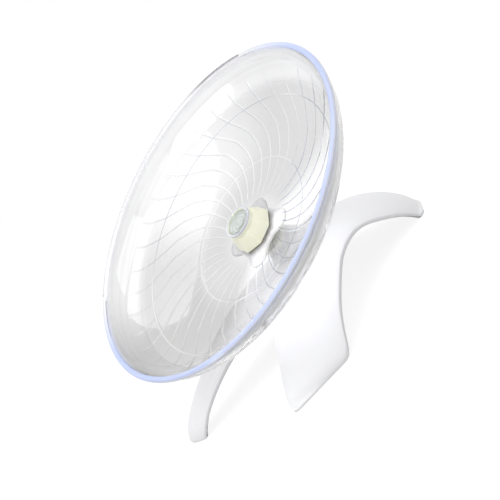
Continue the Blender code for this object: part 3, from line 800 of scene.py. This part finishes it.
stand = {
    "crownHeight": 0.03156,
    "crownRadius": 0.0124,
    "setback": 0.0072,
    "wall": 0.0024,
    "legs": (
        {"side": 1, "angle": math.radians(32.5), "reach": 0.1085, "foot": 0.0166, "root": 0.0252,
         "bend": 0.007, "skew": 0.39, "waist": 0.0034},
        {"side": -1, "angle": math.radians(32.5), "reach": 0.1145, "foot": 0.0085, "root": 0.0252,
         "bend": 0.007, "skew": -0.5, "waist": 0},
        {"side": 1, "angle": math.radians(129.1), "reach": 0.0555, "foot": 0.0119, "root": 0.0285,
         "bend": 0, "skew": 0, "waist": 0},
        {"side": -1, "angle": math.radians(129.1), "reach": 0.0555, "foot": 0.0119, "root": 0.0285,
         "bend": 0, "skew": 0, "waist": 0},
    ),
    "farthest": 0.138,
    "cornerSoftness": 0.0019,
    "webSoftness": 0.0152,
    "coreRadius": 0.0124,
    "blendIn": 0.012,
    "flange": 0.0015,
    "edgeDrop": 0.0014,
    "edgeWidth": 0.006,
    "footSink": 0.0006,
    "widthPower": 2.02,
    "heightPower": 0.72,
    "legFocus": 8,
    "holeRadius": 0.011,
    "columns": 240,
    "rows": 30,
    "rimSamples": 1440,
    "searchSteps": 60,
    "halvings": 20,
    "smooth": 45,
}
legsMeet = Vector((0, stand["setback"]))  # where the legs' middle lines cross, seen from the socket


def legPlace(leg, bearing, distance):
    # how far along the leg, how far off its bent middle line, its half width there and its slanted end
    away = bearing - leg["side"] * leg["angle"]
    along = distance * math.cos(away)
    share = clamp(along / leg["reach"])
    pinch = leg["waist"] * 4 * share * (1 - share)
    inward = -leg["side"] * distance * math.sin(away) - leg["bend"] * share * share + pinch
    end = leg["reach"] + leg["skew"] * min(max(inward, -leg["foot"]), leg["foot"])
    half = leg["root"] + (leg["foot"] - leg["root"]) * share * share - pinch
    return along, inward, half, end


def softLeast(first, second, softness):
    least = min(first, second)
    total = math.exp((least - first) / softness) + math.exp((least - second) / softness)
    return least - softness * math.log(total)


def standField(bearing, distance):
    # over 0 inside the stand's outline, 0 on it and under 0 outside
    values = [(stand["coreRadius"] - distance, 1)]
    for leg in stand["legs"]:
        along, inward, half, end = legPlace(leg, bearing, distance)
        if along > 0:
            value = softLeast(half - abs(inward), end - along, stand["cornerSoftness"])
            values.append((value, min(along / stand["blendIn"], 1)))
    highest = max(value for value, weight in values)
    total = sum(weight * math.exp((value - highest) / stand["webSoftness"]) for value, weight in values)
    return highest + stand["webSoftness"] * math.log(total)


def outlineDistance(bearing):
    outer = stand["farthest"]
    step = outer / stand["searchSteps"]
    while standField(bearing, outer - step) < 0:
        outer -= step
    inner = outer - step
    for _ in range(stand["halvings"]):
        middle = (inner + outer) / 2
        if standField(bearing, middle) > 0:
            inner = middle
        else:
            outer = middle
    return (inner + outer) / 2


def standOutline(count):
    # points at even steps along the rim, seen from the socket
    points = []
    for i in range(stand["rimSamples"] + 1):
        bearing = 2 * math.pi * i / stand["rimSamples"]
        distance = outlineDistance(bearing)
        points.append(legsMeet + distance * Vector((math.sin(bearing), -math.cos(bearing))))
    run = [0]
    for first, second in zip(points, points[1:]):
        run.append(run[-1] + (second - first).length)
    picked = []
    at = 0
    for i in range(count):
        wanted = run[-1] * i / count
        while run[at + 1] < wanted:
            at += 1
        share = (wanted - run[at]) / (run[at + 1] - run[at])
        picked.append(points[at].lerp(points[at + 1], share))
    return picked


def domeHeight(place):
    plan = place - legsMeet
    bearing = math.atan2(plan.x, -plan.y)
    distance = plan.length
    total = 0
    weights = 0
    for leg in stand["legs"]:
        end = legPlace(leg, bearing, distance)[3]
        weight = ((1 + math.cos(bearing - leg["side"] * leg["angle"])) / 2) ** stand["legFocus"]
        total += weight * end
        weights += weight
    reach = total / weights
    share = clamp((distance - stand["crownRadius"]) / (reach - stand["crownRadius"]))
    fall = (1 - share ** stand["widthPower"]) ** stand["heightPower"]
    foot = stand["flange"] + stand["edgeDrop"] - stand["footSink"]
    inset = clamp(standField(bearing, distance) / stand["edgeWidth"])
    rounding = 1 - math.sqrt(1 - (1 - inset) ** 2)
    return foot + (stand["crownHeight"] - foot) * fall - stand["edgeDrop"] * rounding


def makeStand():
    rows = [math.sin(math.pi / 2 * i / stand["rows"]) for i in range(stand["rows"] + 1)]
    unit = 0.01  # spacing of the flat web that is pulled into the dome's shape
    profile = [(unit * (i + 1), 0) for i in range(len(rows))] + [(unit * len(rows), -unit)]
    shell = spinProfile("standShell", profile, stand["columns"], closed=False)
    edge = standOutline(stand["columns"])
    for vertex in shell.data.vertices:
        x, y, height = vertex.co
        row = round(math.hypot(x, y) / unit) - 1
        column = round(math.atan2(y, x) / (2 * math.pi) * stand["columns"]) % stand["columns"]
        target = edge[column]
        start = target.normalized() * stand["holeRadius"]
        place = start.lerp(target, rows[row])
        level = domeHeight(place)
        if height < -unit / 2:
            level -= stand["flange"]
        vertex.co = (place.x, place.y, level)
    takeOnly(shell)
    bpy.ops.object.mode_set(mode="EDIT")
    bpy.ops.mesh.select_all(action="SELECT")
    bpy.ops.mesh.normals_make_consistent(inside=False)
    bpy.ops.object.mode_set(mode="OBJECT")
    if sum(polygon.normal.z * polygon.area for polygon in shell.data.polygons) < 0:
        shell.data.flip_normals()
    wall = shell.modifiers.new("wall", "SOLIDIFY")
    wall.thickness = stand["wall"]
    wall.offset = -1
    applyModifiers(shell)
    for vertex in shell.data.vertices:
        vertex.co.z = max(vertex.co.z, 0)
    paint(shell, whitePlastic)
    shell.data.transform(Matrix.Translation(socketPoint))
    smoothShade(shell, stand["smooth"])
    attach(shell, "stand")
    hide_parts("stand_base")


makeStand()
print("stand made")

# Kept frame nodes get their finishes
paintNode("neck", whitePlastic)
steelNodes = ("axle_pin", "axle_nut", "axle_washer", "bearing_spacer", "bearing_inner_race",
              "bearing_outer_race", "bearing_retainer", "bearing_shield_upper", "bearing_shield_lower",
              "base_washer", "base_screw")
for nodeName in steelNodes:
    paintNode(nodeName, steel)
ballCount = 7
for i in range(ballCount):
    paintNode(f"bearing_ball_{i + 1}", steel)
paintNode("bearing_cage", brass)


# Floor, world, lamps and camera

studio = {
    "floorSize": 8,
    "floorColor": 0.22,
    "floorGlow": 0.87,
    "worldLight": 0.7,
    "lampsAim": (0, 0, 0.06),
}


def seesBackground(tree):
    # 1 for rays that show the backdrop, directly, in a reflection or through the clear wall
    path = tree.nodes.new("ShaderNodeLightPath")
    first = tree.nodes.new("ShaderNodeMath")
    first.operation = "MAXIMUM"
    tree.links.new(path.outputs["Is Camera Ray"], first.inputs[0])
    tree.links.new(path.outputs["Is Glossy Ray"], first.inputs[1])
    second = tree.nodes.new("ShaderNodeMath")
    second.operation = "MAXIMUM"
    tree.links.new(first.outputs["Value"], second.inputs[0])
    tree.links.new(path.outputs["Is Transmission Ray"], second.inputs[1])
    return second.outputs["Value"]


def makeWorld():
    world = bpy.data.worlds.new("studioWorld")
    bpy.context.scene.world = world
    world.use_nodes = True
    tree = world.node_tree
    background = tree.nodes["Background"]
    background.inputs["Color"].default_value = grey(1)
    strength = tree.nodes.new("ShaderNodeMix")
    strength.data_type = "FLOAT"
    strength.inputs["A"].default_value = studio["worldLight"]
    strength.inputs["B"].default_value = 1
    tree.links.new(seesBackground(tree), strength.inputs["Factor"])
    tree.links.new(strength.outputs["Result"], background.inputs["Strength"])


def makeFloor():
    deselectAll()
    bpy.ops.mesh.primitive_plane_add(size=studio["floorSize"], location=(0, 0, 0))
    floor = bpy.context.object
    floor.name = "studioFloor"
    material, tree, shader = newMaterial("floorWhite")
    shader.inputs["Base Color"].default_value = grey(studio["floorColor"])
    shader.inputs["Roughness"].default_value = 1
    shader.inputs["Specular IOR Level"].default_value = 0
    shader.inputs["Emission Color"].default_value = grey(1)
    glow = tree.nodes.new("ShaderNodeMath")
    glow.operation = "MULTIPLY"
    glow.inputs[1].default_value = studio["floorGlow"]
    tree.links.new(seesBackground(tree), glow.inputs[0])
    tree.links.new(glow.outputs["Value"], shader.inputs["Emission Strength"])
    paint(floor, material)


# each softbox: where it hangs round the wheel (degrees from -Y towards +X, and up), how far,
# its width and height, and how bright its face is
lamps = {
    "overheadBox": {"around": 20, "up": 88, "away": 1.4, "size": (1.35, 1.5), "bright": 1.15},
    "frontBox": {"around": -3, "up": 31, "away": 1.3, "size": (1.25, 0.85), "bright": 1.35},
    "sideBox": {"around": 99, "up": 42, "away": 1.3, "size": (1.05, 0.9), "bright": 0.85},
    "cornerBox": {"around": 48, "up": 37, "away": 1.3, "size": (0.8, 0.95), "bright": 0.32},
}


def makeLamps():
    middle = Vector(studio["lampsAim"])
    for name, lamp in lamps.items():
        width, height = lamp["size"]
        around = math.radians(lamp["around"])
        up = math.radians(lamp["up"])
        toLamp = Vector((math.sin(around) * math.cos(up), -math.cos(around) * math.cos(up), math.sin(up)))
        light = bpy.data.lights.new(name, "AREA")
        light.shape = "RECTANGLE"
        light.size = width
        light.size_y = height
        light.energy = lamp["bright"] * math.pi * width * height
        holder = bpy.data.objects.new(name, light)
        bpy.context.scene.collection.objects.link(holder)
        holder.location = middle + toLamp * lamp["away"]
        holder.rotation_euler = toLamp.to_track_quat("Z", "Y").to_euler()


photoCamera = {
    "place": (0.462076, -0.341994, 0.168154),
    "right": (0.52366, 0.46898, -0.71122),
    "forward": (-0.78915, 0.58157, -0.19755),
    "lens": 84.957,
    "sensor": 36,
    "clipStart": 0.01,
}


def makeCamera():
    data = bpy.data.cameras.new("photoCamera")
    data.lens = photoCamera["lens"]
    data.sensor_width = photoCamera["sensor"]
    data.clip_start = photoCamera["clipStart"]
    camera = bpy.data.objects.new("photoCamera", data)
    bpy.context.scene.collection.objects.link(camera)
    back = -Vector(photoCamera["forward"]).normalized()
    right = Vector(photoCamera["right"])
    right = (right - back * right.dot(back)).normalized()
    up = back.cross(right)
    turn = Matrix((right, up, back)).transposed()
    camera.matrix_world = Matrix.Translation(photoCamera["place"]) @ turn.to_4x4()
    bpy.context.scene.camera = camera


makeWorld()
makeFloor()
makeLamps()
makeCamera()
bpy.context.scene.view_settings.view_transform = "Standard"
print("studio made")
